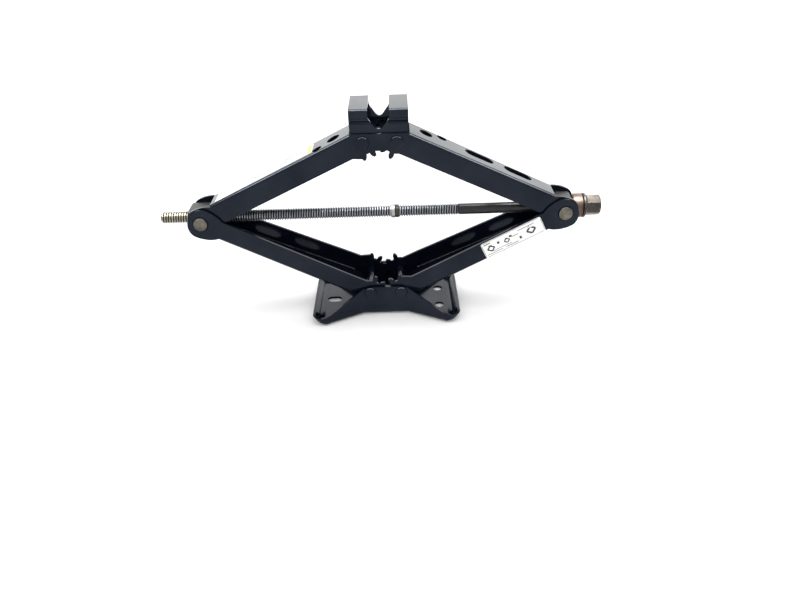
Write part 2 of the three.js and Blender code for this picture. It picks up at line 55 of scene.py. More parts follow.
SADDLE_PIVOT_Z = JOINTS["upper_left_to_saddle"].z
ARM_LENGTH = (TRUNNION - BASE_PIVOT).length
ARM_ANGLE = math.atan2(TRUNNION.z - BASE_PIVOT.z, TRUNNION.x - BASE_PIVOT.x)
HALF_SPACING = BASE_PIVOT.x

GAP = 0.3
RUNNING_GAP = 0.35
ARM_SHEET = 2.8
PIN_PROUD = 2.2
FULL_TURN = 2 * math.pi
QUARTER_TURN = math.pi / 2


def span(node):
    """Lowest and highest corner of a CAD node, in millimetres."""
    low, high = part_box(node)
    return Vector(low) / MM, Vector(high) / MM


def ends(node):
    """Where a CAD node starts and ends along the screw."""
    low, high = span(node)
    return low.x, high.x


JOURNAL_END = span("thrust_trunnion")[1].y
UPPER_GEAR_HALF = span("upper_arm_right")[1].y
LOWER_GEAR_HALF = span("lower_arm_right")[1].y
LOWER_EAR_HALF = JOURNAL_END - PIN_PROUD
UPPER_EAR_HALF = LOWER_EAR_HALF - ARM_SHEET - GAP

# "ear" and "gear" are half widths, "web" and "open" the heights of the closed and the open side.
# "lobe" is how far the ear reaches outward, inward and across; "round" holes are (x, y, radius).
UPPER = {
    "ear": UPPER_EAR_HALF,
    "gear": UPPER_GEAR_HALF,
    "web": 13.5,
    "open": -12.5,
    "lobe": (15, 29, 17.5),
    "web_from": 10,
    "web_to": 21,
    "slots": (99.5, 150.5),
    "slot_shape": (37, 16),
    "slot_y": 4.5,
    "round": [(31, 4, 8), (51.5, 12, 6)],
}
LOWER = {
    "ear": LOWER_EAR_HALF,
    "gear": LOWER_GEAR_HALF,
    "web": 12,
    "open": -12,
    "lobe": (15.2, 30, 18.5),
    "web_from": 20,
    "web_to": 24,
    "slots": (85, 138),
    "slot_shape": (35, 22),
    "slot_y": 0,
    "round": [],
}
BEND_RADIUS = 4.5
EAR_LENGTH = 30
GEAR_END = 25
TAPER_SOFT = 6
SLAB_OVERLAP = 5
RIVET_RADIUS = 5
PIN_RADIUS = 8.2
PIN_CLEARANCE = 0.9

GEAR_TEETH = 10
GEAR_PRESSURE = math.radians(25)
GEAR_ADDENDUM = 3
GEAR_DEDENDUM = 4
GEAR_BACKLASH = 0.7
REST_TOOTH = math.radians(22)
NEAR_TOOTH = ARM_ANGLE - QUARTER_TURN - REST_TOOTH
TEETH_CUT = 4
FAR_WIDENING = [(22, -11), (9.5, -17.8), (7.5, -20.3), (3, -13), (3, -8), (22, -8)]

SCREW_RADIUS = 7
SCREW_PITCH = 3
THREAD_DEPTH = 1.55
THREAD_RIGHT = 92
SHANK_RADIUS = 6.6
SPIGOT_RADIUS = 5


# -------- mesh helpers
def new_object(name, points, faces):
    mesh = bpy.data.meshes.new(name)
    mesh.from_pydata([Vector(p) * MM for p in points], [], faces)
    mesh.validate()
    thing = bpy.data.objects.new(name, mesh)
    bpy.context.scene.collection.objects.link(thing)
    return thing


@contextlib.contextmanager
def edited(thing):
    """The piece's mesh opened for editing, and written back at the end."""
    editor = bmesh.new()
    editor.from_mesh(thing.data)
    yield editor
    editor.to_mesh(thing.data)
    editor.free()


def recalc(thing):
    """Merges corners that coincide and turns every face outward."""
    with edited(thing) as editor:
        bmesh.ops.remove_doubles(editor, verts=editor.verts, dist=1e-6)
        bmesh.ops.recalc_face_normals(editor, faces=editor.faces)
    return thing


def prism(name, outline, low, high, along="y"):
    """A solid from an outline: (x, z) points pushed along y, or (x, y) points pushed along z."""
    count = len(outline)
    if along == "y":
        points = [(u, low, v) for u, v in outline] + [(u, high, v) for u, v in outline]
    else:
        points = [(u, v, low) for u, v in outline] + [(u, v, high) for u, v in outline]
    sides = [(i, (i + 1) % count, (i + 1) % count + count, i + count) for i in range(count)]
    faces = sides + [tuple(range(count)), tuple(range(2 * count - 1, count - 1, -1))]
    return recalc(new_object(name, points, faces))


def grid_solid(name, rows):
    """Quads through rows of equal length, each row a closed ring; the first and last rings are capped."""
    width = len(rows[0])
    points = [p for row in rows for p in row]
    faces = []
    for start in range(0, (len(rows) - 1) * width, width):
        for c in range(width):
            d = (c + 1) % width
            faces.append((start + c, start + d, start + width + d, start + width + c))
    faces.append(tuple(range(width)))
    faces.append(tuple(range((len(rows) - 1) * width, len(rows) * width)))
    return recalc(new_object(name, points, faces))


def lathe(name, profile, segments=48, axis="x", centre=(0, 0, 0)):
    """A solid of revolution from (along, radius) corners; a radius of zero is a point on the axis.

    A profile that ends where it starts makes a ring."""
    points, rings, faces = [], [], []
    for along, radius in profile:
        count = segments if radius else 1
        rings.append(range(len(points), len(points) + count))
        turns = [FULL_TURN * k / segments for k in range(count)]
        points += [axis_point(along, radius, turn, axis, centre) for turn in turns]
    for a, b in zip(rings, rings[1:]):
        faces += band(a, b, segments)
    return recalc(new_object(name, points, faces))


def axis_point(along, radius, turn, axis, centre):
    u, v = radius * math.cos(turn), radius * math.sin(turn)
    point = (along, u, v) if axis == "x" else (u, along, v)
    return tuple(p + c for p, c in zip(point, centre))


def band(a, b, segments):
    """Faces between two rings of a lathe, either of which may be a single point."""
    if len(a) == 1 and len(b) == 1:
        return []
    if len(a) == 1:
        return [(a[0], b[(k + 1) % segments], b[k]) for k in range(segments)]
    if len(b) == 1:
        return [(a[k], a[(k + 1) % segments], b[0]) for k in range(segments)]
    return [(a[k], a[(k + 1) % segments], b[(k + 1) % segments], b[k]) for k in range(segments)]


def apply_modifiers(thing):
    """Keeps the mesh that the modifiers make, and drops them."""
    graph = bpy.context.evaluated_depsgraph_get()
    mesh = bpy.data.meshes.new_from_object(thing.evaluated_get(graph))
    thing.modifiers.clear()
    old = thing.data
    thing.data = mesh
    mesh.name = thing.name
    bpy.data.meshes.remove(old)


def combine(operation, thing, *tools):
    """One boolean after another on a solid; the tools are used up."""
    for tool in tools:
        modifier = thing.modifiers.new("combine", "BOOLEAN")
        modifier.object = tool
        modifier.operation = operation
        modifier.solver = "MANIFOLD"
        apply_modifiers(thing)
        bpy.data.objects.remove(tool)
    return thing


def soften(thing, width=0.4, segments=2):
    """Small round-overs on hard edges, smooth shading elsewhere."""
    with edited(thing) as editor:
        flat = math.radians(1)
        bmesh.ops.dissolve_limit(editor, angle_limit=flat, verts=editor.verts, edges=editor.edges)
    modifier = thing.modifiers.new("round", "BEVEL")
    modifier.width = width * MM
    modifier.segments = segments
    modifier.limit_method = "ANGLE"
    modifier.angle_limit = math.radians(35)
    apply_modifiers(thing)
    return shade(thing)


def shade(thing, sharp=math.radians(40)):
    """Smooth shading, except over edges that turn more than the sharp angle."""
    with edited(thing) as editor:
        bmesh.ops.dissolve_degenerate(editor, edges=editor.edges, dist=1e-6)
        for face in editor.faces:
            face.smooth = True
        for edge in editor.edges:
            edge.smooth = len(edge.link_faces) == 2 and edge.calc_face_angle(0) < sharp
    return thing


def arc(cx, cy, radius, start, end, steps):
    turns = [start + (end - start) * k / steps for k in range(steps + 1)]
    return [(cx + radius * math.cos(t), cy + radius * math.sin(t)) for t in turns]


def circle(x, y, radius, steps=32):
    return arc(x, y, radius, 0, FULL_TURN, steps)[:-1]


def mirrored(points):
    """The same points on the other side, in reverse, so that an outline carries on."""
    return [(-u, v) for u, v in reversed(points)]


def obround(length, width, x, y, steps=12):
    """A slot with round ends, its length along x."""
    radius, reach = width / 2, (length - width) / 2
    right = arc(x + reach, y, radius, -QUARTER_TURN, QUARTER_TURN, steps)
    left = arc(x - reach, y, radius, QUARTER_TURN, 3 * QUARTER_TURN, steps)
    return right + left


def place(thing, matrix):
    """Moves a mesh by a matrix whose lengths are millimetres."""
    thing.data.transform(Matrix.Scale(MM, 4) @ matrix @ Matrix.Scale(1 / MM, 4))
    return thing


def flatten_shading(thing):
    """Large flat faces keep one normal, and only the small round-overs turn between them."""
    modifier = thing.modifiers.new("flat", "WEIGHTED_NORMAL")
    modifier.keep_sharp = True
    modifier.weight = 100
    apply_modifiers(thing)


def fitted(thing, body, slot, material, *nodes):
    """Gives a finished mesh its material and its body, and hides the CAD nodes it stands for; the slot is not
    used.
    """
    flatten_shading(thing)
    thing.data.materials.clear()
    thing.data.materials.append(material)
    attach(thing, body)
    if nodes:
        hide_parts(*nodes)
    return thing


# -------- materials
# The colour sockets of a Mix node, which share their names with its number and vector sockets.
MIX_FIRST, MIX_SECOND, MIX_RESULT = 6, 7, 2
# The thread is darkest below this radius: painted shade in its roots.
SHADED_ROOT_RADIUS = SCREW_RADIUS - 1.5
WORN_RADIUS = SCREW_RADIUS - 0.1
GRAIN_DEPTH = 0.0002


def node_material(name):
    """A new material, its shader, and the piece's own coordinates in metres."""
    material = bpy.data.materials.new(name)
    material.use_nodes = True
    tree = material.node_tree
    shader = tree.nodes["Principled BSDF"]
    coords = tree.nodes.new("ShaderNodeTexCoord")
    return material, shader, coords.outputs["Object"]


def wire(node, inputs):
    """Gives each named input of a node its value: a socket is linked, a number or a colour is set."""
    for name, value in inputs.items():
        if isinstance(value, bpy.types.NodeSocket):
            node.id_data.links.new(value, node.inputs[name])
        else:
            node.inputs[name].default_value = (*value, 1) if isinstance(value, tuple) else value
    return node


def new_node(kind, inputs, **settings):
    """A node in the tree that its first input comes from."""
    tree = next(iter(inputs.values())).id_data
    node = tree.nodes.new(f"ShaderNode{kind}")
    for name, value in settings.items():
        setattr(node, name, value)
    return wire(node, inputs)


def noise(coords, scale, detail=4, roughness=0.55):
    inputs = {"Vector": coords, "Scale": scale, "Detail": detail, "Roughness": roughness}
    return new_node("TexNoise", inputs).outputs["Fac"]


def tones(value, dark, light, start=0.3, end=0.7):
    """A colour that goes from dark to light while the value goes from start to end."""
    node = new_node("ValToRGB", {"Fac": value})
    for element, position, colour in zip(node.color_ramp.elements, (start, end), (dark, light)):
        element.position = position
        element.color = (*colour, 1)
    return node.outputs["Color"]


def ranged(value, low, high, start=0.3, end=0.7):
    """A number that goes from low to high while the value goes from start to end."""
    inputs = {"Value": value, "From Min": start, "From Max": end, "To Min": low, "To Max": high}
    return new_node("MapRange", inputs).outputs["Result"]


def mixed(factor, first, second):
    """The first colour where the factor is 0 and the second where it is 1."""
    inputs = {"Factor": factor, MIX_FIRST: first, MIX_SECOND: second}
    return new_node("Mix", inputs, data_type="RGBA").outputs[MIX_RESULT]


def bump(height, strength, distance, **under):
    """A bumped normal, over another bump's Normal where one is given."""
    inputs = {"Height": height, "Strength": strength, "Distance": distance, **under}
    return new_node("Bump", inputs).outputs["Normal"]


def axis_value(coords, axis):
    """One coordinate of the piece's own frame, in metres."""
    return new_node("SeparateXYZ", {"Vector": coords}).outputs[axis]


def maths(operation, first, second=0):
    """One sum on a socket and a second socket or number."""
    return new_node("Math", {0: first, 1: second}, operation=operation).outputs["Value"]


def screw_radius_value(coords):
    """Distance from the screw's axis, in metres."""
    across = axis_value(coords, "Y")
    height = maths("SUBTRACT", axis_value(coords, "Z"), TRUNNION.z * MM)
    squares = [maths("MULTIPLY", part, part) for part in (across, height)]
    return maths("SQRT", maths("ADD", *squares))


def grained(shader, grain, smooth, rough, strength):
    """Roughness and a fine bump, both from the same grain."""
    wire(shader, {"Roughness": ranged(grain, smooth, rough), "Normal": bump(grain, strength, GRAIN_DEPTH)})


def paint_material():
    """Glossy blue-black enamel with orange peel, cloudy gloss and specks of dust."""
    material, shader, coords = node_material("jack_paint")
    broad = noise(coords, 14, 3)
    peel = noise(coords, 420, 3)
    dust = noise(coords, 1300, 2, 0.7)
    cloud = noise(coords, 35, 5, 0.6)
    tint = tones(broad, (0.0016, 0.0026, 0.0065), (0.005, 0.0072, 0.0145))
    specks = ranged(dust, 0, 0.4, 0.68, 0.8)
    wire(shader, {
        "Base Color": mixed(specks, tint, (0.05, 0.056, 0.065)),
        "Roughness": ranged(cloud, 0.09, 0.17),
        "Normal": bump(dust, 0.04, GRAIN_DEPTH, Normal=bump(peel, 0.04, 0.0004)),
        "Specular IOR Level": ranged(broad, 0.13, 0.24),
        "Specular Tint": (0.72, 0.84, 1.0),
        "Coat Weight": 0.05,
        "Coat Roughness": 0.05,
    })
    return material


def metal_material(name, dark, light, smooth, rough, grain_scale):
    """Bare steel in two tones, with brown stains in places."""
    material, shader, coords = node_material(name)
    broad = noise(coords, 90, 5)
    grain = noise(coords, grain_scale, 4, 0.7)
    spots = noise(coords, 260, 4)
    tint = tones(broad, dark, light, 0.32)
    stained = ranged(spots, 0, 0.3, 0.52, 0.7)
    wire(shader, {"Base Color": mixed(stained, tint, (0.2, 0.16, 0.12)), "Metallic": 0.85})
    grained(shader, grain, smooth, rough, 0.25)
    return material


def pin_material():
    """Bare only on the pins' end faces; the blocks and the pins' sides are near-black and dull, painted shade.
    """
    material, shader, coords = node_material("pin_steel")
    broad = noise(coords, 110, 5)
    bare = tones(broad, (0.07, 0.064, 0.052), (0.17, 0.158, 0.132), 0.32)
    # Near-black on the blocks and the pins' sides: painted shade.
    painted_shade = tones(broad, (0.006, 0.006, 0.007), (0.018, 0.017, 0.016), 0.32)
    side = maths("ABSOLUTE", axis_value(coords, "Y"))
    face = ranged(side, 0, 1, (JOURNAL_END - 0.9) * MM, (JOURNAL_END - 0.3) * MM)
    metallic = ranged(face, 0.3, 0.85, 0, 1)
    wire(shader, {"Base Color": mixed(face, painted_shade, bare), "Metallic": metallic})
    grained(shader, noise(coords, 1200, 4, 0.7), 0.38, 0.55, 0.25)
    return material


def thread_material():
    """Roots darkened as painted shade under bright worn crests; yellowish past the nut, and a near-black smooth
    shank.
    """
    material, shader, coords = node_material("thread_steel")
    broad = noise(coords, 120, 5)
    along, radius = axis_value(coords, "X"), screw_radius_value(coords)
    crest = ranged(radius, 0, 1, SHADED_ROOT_RADIUS * MM, WORN_RADIUS * MM)
    # Roots darker than the crests: painted shade in the thread's hollows.
    painted_shade = tones(broad, (0.004, 0.005, 0.006), (0.012, 0.014, 0.017))
    worn = tones(broad, (0.16, 0.17, 0.19), (0.38, 0.39, 0.42))
    clean = tones(broad, (0.26, 0.235, 0.18), (0.46, 0.435, 0.36))
    patchy = maths("MULTIPLY", crest, maths("ADD", broad, 0.3))
    # Past the nut the roots are darkened too, as painted shade.
    dull = tones(patchy, (0.03, 0.026, 0.02), (0.4, 0.37, 0.3), 0.1, 0.8)
    middle = mixed(crest, painted_shade, worn)
    past_nut = ranged(along, 1, 0, -(TRUNNION.x + 10) * MM, -(TRUNNION.x - 6) * MM)
    thread = mixed(past_nut, middle, mixed(crest, dull, clean))
    shank = ranged(along, 0, 1, (THREAD_RIGHT - 4) * MM, (THREAD_RIGHT - 1) * MM)
    black = tones(broad, (0.004, 0.004, 0.005), (0.014, 0.014, 0.016))
    metallic = ranged(shank, 0.85, 0.3, 0, 1)
    wire(shader, {"Base Color": mixed(shank, thread, black), "Metallic": metallic})
    grained(shader, noise(coords, 1500, 4, 0.7), 0.26, 0.42, 0.2)
    return material


def ring_material():
    """Bright zinc, dull and oily on the crimped tail."""
    material, shader, coords = node_material("zinc_plate")
    broad = noise(coords, 90, 5)
    bright = tones(broad, (0.24, 0.25, 0.24), (0.4, 0.41, 0.39))
    oily = tones(broad, (0.01, 0.01, 0.011), (0.04, 0.036, 0.03))
    start = ends("stop_ring")[0] + 4.4
    tail = ranged(axis_value(coords, "X"), 0, 1, start * MM, (start + 0.6) * MM)
    metallic = ranged(tail, 0.85, 0.4, 0, 1)
    wire(shader, {"Base Color": mixed(tail, bright, oily), "Metallic": metallic})
    grained(shader, noise(coords, 1300, 4, 0.7), 0.3, 0.45, 0.2)
    return material


def label_material():
    """White film, a little soiled."""
    material, shader, coords = node_material("label_film")
    soil = noise(coords, 60, 5)
    grain = noise(coords, 900, 2)
    tint = tones(soil, (0.78, 0.78, 0.76), (0.9, 0.9, 0.89), 0.35, 0.6)
    roughness = ranged(grain, 0.35, 0.5, 0, 1)
    wire(shader, {"Base Color": tint, "Roughness": roughness, "Normal": bump(soil, 0.05, 0.0003)})
    return material


def ink_material(name, colour):
    """Print that is a little lighter where it has worn."""
    material, shader, coords = node_material(name)
    wear = noise(coords, 700, 4)
    lighter = tuple(min(1, c * 1.6 + 0.02) for c in colour)
    tint = tones(wear, colour, lighter, 0.4, 0.75)
    wire(shader, {"Base Color": tint, "Roughness": ranged(wear, 0.4, 0.6, 0, 1)})
    return material


PAINT = paint_material()
PIN_STEEL = pin_material()
HEAD_STEEL = metal_material("head_steel", (0.03, 0.026, 0.023), (0.085, 0.075, 0.068), 0.3, 0.45, 1200)
CUP_STEEL = metal_material("cup_steel", (0.06, 0.04, 0.032), (0.16, 0.115, 0.095), 0.35, 0.5, 900)
RACE_STEEL = metal_material("race_steel", (0.45, 0.44, 0.42), (0.66, 0.65, 0.62), 0.25, 0.4, 900)
THREAD_STEEL = thread_material()
ZINC = ring_material()
LABEL = label_material()
INK = ink_material("label_ink", (0.012, 0.012, 0.014))
YELLOW = ink_material("label_yellow", (0.75, 0.62, 0.06))


# -------- arms
def arm_half(arm, x):
    """Half the arm's width: wide at the gears, and tapering to the trunnion ears."""
    start, end = GEAR_END, ARM_LENGTH - EAR_LENGTH
    share = min(max((x - start) / (end - start), 0), 1)
    return arm["gear"] + (arm["ear"] - arm["gear"]) * share


def channel_profile(arm, steps=8):
    """The channel's section in (y, z) at the trunnion ear's width."""
    half, top, low = arm["ear"], arm["web"], arm["open"]

    def skin(inset):
        bend = arc(half - BEND_RADIUS, top - BEND_RADIUS, BEND_RADIUS - inset, 0, QUARTER_TURN, steps)
        right = [(half - inset, low), *bend]
        return right + mirrored(right)

    return skin(0) + skin(ARM_SHEET)[::-1]


def channel(arm, name):
    section = channel_profile(arm)
    ends = (arm["web_from"], ARM_LENGTH - arm["web_to"])
    return grid_solid(name, [[(x, y, z) for y, z in section] for x in ends])


def tooth_outline(centre):
    """An involute tooth that points at the angle centre, with its foot sunk in the disc."""
    base = HALF_SPACING * math.cos(GEAR_PRESSURE)
    root, tip = HALF_SPACING - GEAR_DEDENDUM, HALF_SPACING + GEAR_ADDENDUM
    involute = math.tan(GEAR_PRESSURE) - GEAR_PRESSURE
    half = math.pi / GEAR_TEETH / 2 - GEAR_BACKLASH / 4 / HALF_SPACING + involute
    steps = 6
    radii = [root - 2] + [base + (tip - base) * k / steps for k in range(steps + 1)]

    def flank(side):
        for radius in radii:
            roll = math.sqrt(max((radius / base) ** 2 - 1, 0))
            turn = centre + side * (half - (roll - math.atan(roll)))
            yield (radius * math.cos(turn), radius * math.sin(turn))

    return list(flank(-1)) + list(flank(1))[::-1]


def gear_slab(arm, side, first_tooth):
    """One flange's geared end: a disc with its teeth and a strip that runs into the channel."""
    low, high = sorted((side * arm["ear"], side * (arm["ear"] - ARM_SHEET)))
    strip_top = arm["web"] - BEND_RADIUS
    end, neck_top = GEAR_END + SLAB_OVERLAP, arm["web"] - 2
    disc = circle(0, 0, HALF_SPACING - GEAR_DEDENDUM, 64)
    strip = [(0, arm["open"]), (end, arm["open"]), (end, strip_top)]
    strip += [(arm["web_from"], strip_top), (arm["web_from"], neck_top), (0, neck_top)]
    slab = prism("gear", disc, low, high)
    tools = [prism("strip", strip, low, high)]
    if side > 0:
        tools.append(prism("widening", FAR_WIDENING, low, high))
    for k in range(TEETH_CUT):
        turn = first_tooth - k * FULL_TURN / GEAR_TEETH
        tools.append(prism("tooth", tooth_outline(turn), low, high))
    return combine("UNION", slab, *tools)


def ear_slab(arm, side):
    """One flange's rounded ear round the trunnion pin, and a strip that runs into the channel."""
    low, high = sorted((side * arm["ear"], side * (arm["ear"] - ARM_SHEET)))
    outward, inward, across = arm["lobe"]
    steps = 32
    outline = []
    for k in range(2 * steps):
        turn = math.pi * k / steps - QUARTER_TURN
        reach = outward if k <= steps else inward
        outline.append((ARM_LENGTH + reach * math.cos(turn), across * math.sin(turn)))
    start, end = ARM_LENGTH - EAR_LENGTH - SLAB_OVERLAP, ARM_LENGTH - 12
    strip_top = arm["web"] - BEND_RADIUS
    strip = [(start, arm["open"]), (end, arm["open"]), (end, strip_top), (start, strip_top)]
    slab = prism("ear", outline, low, high)
    return combine("UNION", slab, prism("strip", strip, low, high))


def spread(thing, arm):
    """Moves the flanges out to the arm's true half width, with a soft turn at each end of the taper."""
    offsets = [TAPER_SOFT * k / 2 for k in (-2, -1, 0, 1, 2)]
    inner = (arm["ear"] - ARM_SHEET) * MM
    with edited(thing) as editor:
        for x in [turn + offset for turn in (GEAR_END, ARM_LENGTH - EAR_LENGTH) for offset in offsets]:
            every = list(editor.verts) + list(editor.edges) + list(editor.faces)
            point = Vector((x * MM, 0, 0))
            bmesh.ops.bisect_plane(editor, geom=every, dist=1e-7, plane_co=point, plane_no=(1, 0, 0))
        for vert in editor.verts:
            around = [arm_half(arm, vert.co.x / MM + offset) for offset in offsets]
            extra = (sum(around) / len(around) - arm["ear"]) * MM
            share = min(abs(vert.co.y) / inner, 1)
            vert.co.y += math.copysign(extra * share, vert.co.y)


def arm_mesh(arm, name):
    """An arm along +X with its gear's pivot at the origin and its web on top."""
    body = channel(arm, name)
    far = NEAR_TOOTH + math.pi / GEAR_TEETH
    slabs = [gear_slab(arm, -1, NEAR_TOOTH), gear_slab(arm, 1, far), ear_slab(arm, -1), ear_slab(arm, 1)]
    combine("UNION", body, *slabs)
    spread(body, arm)
    reach = arm["gear"] + 2
    pivots = [((0, 0), RIVET_RADIUS + GAP), ((ARM_LENGTH, 0), PIN_RADIUS + PIN_CLEARANCE)]
    tools = []
    for (x, z), radius in pivots:
        tools.append(prism("pivot", circle(x, z, radius, 48), -reach, reach))
    low, high = arm["web"] - ARM_SHEET - 2, arm["web"] + 2
    for x in arm["slots"]:
        tools.append(prism("slot", obround(*arm["slot_shape"], x, arm["slot_y"]), low, high, "z"))
    for x, y, radius in arm["round"]:
        tools.append(prism("hole", circle(x, y, radius), low - 3, high, "z"))
    return soften(combine("DIFFERENCE", body, *tools))


def arm_matrix(upper, left):
    """From the arm's own frame to its place on the jack; a lower arm has its open side up."""
    flip = Matrix.Identity(4) if upper else Matrix.Rotation(math.pi, 4, "X")
    tilt = Matrix.Rotation(ARM_ANGLE if upper else -ARM_ANGLE, 4, "Y")
    height = SADDLE_PIVOT_Z if upper else BASE_PIVOT.z
    right = Matrix.Translation((HALF_SPACING, 0, height)) @ tilt @ flip
    return Matrix.Rotation(math.pi, 4, "Z") @ right if left else right


def copy_of(thing, name):
    twin = bpy.data.objects.new(name, thing.data.copy())
    bpy.context.scene.collection.objects.link(twin)
    return twin


def arms():
    """Left and right arms of a level are the same pressing, turned end for end."""
    for level, arm in (("upper", UPPER), ("lower", LOWER)):
        right = arm_mesh(arm, f"{level}_arm_right_sheet")
        left = copy_of(right, f"{level}_arm_left_sheet")
        for side, thing in (("right", right), ("left", left)):
            place(thing, arm_matrix(level == "upper", side == "left"))
            fitted(thing, f"{level}_{side}", "paint", PAINT, f"{level}_arm_{side}")


arms()


# -------- base
BASE_SHEET = 3
BASE_BEND = 6
# Half lengths and half widths: the waist runs out to the kink, and the wide end starts "flat" before the end.
BASE = {"half": 91, "kink": 27, "waist": 33.8, "wide": 58, "flat": 17, "corner": 12}
BASE_TOP = 39
BASE_TOP_HALF = 23
BASE_END_TOP = 10
LIP_LEAN = (6, 13)
LIP_MIDDLE = (38, 50)
LIP_FROM, LIP_RISE = 66, 20
BASE_SLOT = (19, 12.5, -67, 0)
BASE_HOLES = [(67, -20, 6), (67, 20, 6)]
WALL_STEPS = (0.35, 0.7, 1)
BEND_STEPS = 6

RIVET_HEAD = 7.4
RIVET_HEIGHT = 2.2


def base_ring(inset):
    """The plate's plan in from its outer edge, with the same number of points for every inset."""
    half, kink, waist, wide, flat, corner = BASE.values()
    slope = math.atan2(wide - waist, half - flat - kink)
    kink, waist = kink + inset * math.tan(slope / 2), waist - inset
    shoulder = half - flat + inset * math.tan(slope / 2)
    end, wide, radius = half - inset, wide - inset, corner - inset
    quarter = [(kink * k / 12, -waist) for k in range(12)]
    quarter += [(kink + (shoulder - kink) * k / 20, -waist + (waist - wide) * k / 20) for k in range(20)]
    quarter += [(shoulder, -wide)]
    quarter += arc(end - radius, -wide + radius, radius, -QUARTER_TURN, 0, 10)
    side = [(end, (radius - wide) * (1 - k / 12)) for k in range(1, 13)]
    near_right = quarter + side[:-1]
    far_right = [(x, -y) for x, y in reversed(quarter + side)]
    right = near_right + far_right[:-1]
    return right + [(0, waist)] + mirrored(right[1:])


def smooth_step(value):
    """From 0 to 1 with level ends."""
    share = min(max(value, 0), 1)
    return share * share * (3 - 2 * share)


def wall_top(x):
    """Height of the wall's edge, with its corners rounded over a few millimetres."""
    reach = BASE["half"] - BASE["flat"]

    def sharp(at):
        share = min(max((abs(at) - BASE_TOP_HALF) / (reach - BASE_TOP_HALF), 0), 1)
        return BASE_TOP + (BASE_END_TOP - BASE_TOP) * share

    around = [sharp(x + 2.5 * k) for k in range(-3, 4)]
    return sum(around) / len(around)


def lean_of(x, y):
    """How far the end lips lean: nothing at the shoulders, a little at the corners, most along the ends."""
    corner, middle = LIP_LEAN
    start, end = LIP_MIDDLE
    most = middle + (corner - middle) * smooth_step((abs(y) - start) / (end - start))
    return most * smooth_step((abs(x) - LIP_FROM) / LIP_RISE)


def base_wall_row(inset, height_of):
    """One ring of the base's skin; height_of turns the wall's top into the ring's height there."""
    row = []
    for (x, y), (ox, oy) in zip(base_ring(inset), base_ring(0)):
        top = wall_top(ox)
        z = height_of(top)
        lean = lean_of(ox, oy) * (1 - z / top)
        row.append((x - math.copysign(lean, ox), y, z))
    return row


def base_wall_rows(inset, shares):
    return [base_wall_row(inset, lambda top, s=s: BASE_BEND + (top - BASE_BEND) * s) for s in shares]


def base_bend_rows(radius, turns):
    """The bend between plate and wall, at one radius about the bend's centre."""
    rows = []
    for turn in turns:
        z = BASE_BEND - radius * math.cos(turn)
        rows.append(base_wall_row(BASE_BEND - radius * math.sin(turn), lambda top, z=z: z))
    return rows


def base_mesh():
    turns = [QUARTER_TURN * k / BEND_STEPS for k in range(BEND_STEPS + 1)]
    rows = base_bend_rows(BASE_BEND, turns) + base_wall_rows(0, WALL_STEPS)
    rows += base_wall_rows(BASE_SHEET, WALL_STEPS[::-1]) + base_bend_rows(BASE_BEND - BASE_SHEET, turns[::-1])
    thing = grid_solid("base_pressing", rows)
    with edited(thing) as editor:
        bmesh.ops.triangulate(editor, faces=[f for f in editor.faces if len(f.verts) > 4])
    tools = [prism("slot", obround(*BASE_SLOT), -1, BASE_SHEET + 1, "z")]
    for x, y, radius in BASE_HOLES:
        tools.append(prism("hole", circle(x, y, radius), -1, BASE_SHEET + 1, "z"))
    tools += pivot_tools(BASE_PIVOT.z, BASE["wide"])
    return soften(combine("DIFFERENCE", thing, *tools), 0.5)


def pivot_tools(z, reach):
    """Bars for the two rivet holes that go right across a piece."""
    places = (-HALF_SPACING, HALF_SPACING)
    return [prism("pivot", circle(x, z, RIVET_RADIUS + GAP), -reach, reach) for x in places]


def rivet_mesh(name, flange_half):
    """A shank with a low domed head at each end, pressed a little into a flat on top."""
    under, head = flange_half + GAP, RIVET_HEAD
    end = under + RIVET_HEIGHT
    corners = [(end, 0), (end, head - 2.2), (end - 0.15, head - 1.5), (end - 0.6, head - 0.7)]
    corners += [(end - 1.3, head - 0.15), (end - 1.8, head), (under, head), (under, RIVET_RADIUS)]
    profile = [(-along, radius) for along, radius in corners] + corners[::-1]
    return shade(lathe(name, profile, 48, "y"))


def rivets(body, z, flange_half):
    for side, x in (("left", -HALF_SPACING), ("right", HALF_SPACING)):
        rivet = rivet_mesh(f"{body}_rivet_{side}", flange_half)
        place(rivet, Matrix.Translation((x, 0, z)))
        fitted(rivet, body, "paint", PAINT, f"{body}_pivot_rivet_{side}")


def base():
    fitted(base_mesh(), "base", "paint", PAINT, "base_plate")
    rivets("base", BASE_PIVOT.z, BASE["waist"])


base()


# -------- saddle
SADDLE_SHEET = 3
SADDLE_HALF = 32.5
SADDLE_TOP = 38
SADDLE_BOTTOM = -9.3
WAIST_HALF = UPPER_GEAR_HALF + GAP + SADDLE_SHEET
TOWER_HALF = WAIST_HALF + 4
SKIRT_HALF = WAIST_HALF + 1
SADDLE_BEND = 3.2
SADDLE_CORNER = 6
BEAD_DEPTH = 1.4
BEAD_PLACES = [(22.7, 2.1), (26.8, 1.5)]
BEAD = [(0, -1.6), (0.5, -1), (0.85, -0.4), (1, 0.1), (0.85, 0.5), (0.2, 0.9), (0, 1.4)]
SLOT_HALF = 11.75
SLOT_DEPTHS = (11, 20.2, 22.6)
SLOT_FOOT = 4.2


def saddle_side():
    """The wall's outer face as (y, z), upward: skirt, shoulder, waist, two beads, top bend."""
    skirt, waist = SKIRT_HALF, WAIST_HALF
    points = [(skirt, SADDLE_BOTTOM), (skirt, 9.6), (skirt - 0.2, 10.2), (skirt - 1, 10.75)]
    points += [(waist - 0.7, 11.2), (waist - 0.9, 12.4), (waist, 14.6), (TOWER_HALF - 2.4, 20)]
    for middle, out in BEAD_PLACES:
        points += [(TOWER_HALF - out + BEAD_DEPTH * bulge, middle + offset) for bulge, offset in BEAD]
    points += [(TOWER_HALF - 0.5, 30)]
    radius = SADDLE_BEND
    return points + arc(TOWER_HALF - 0.4 - radius, SADDLE_TOP - radius, radius, 0, QUARTER_TURN, 6)


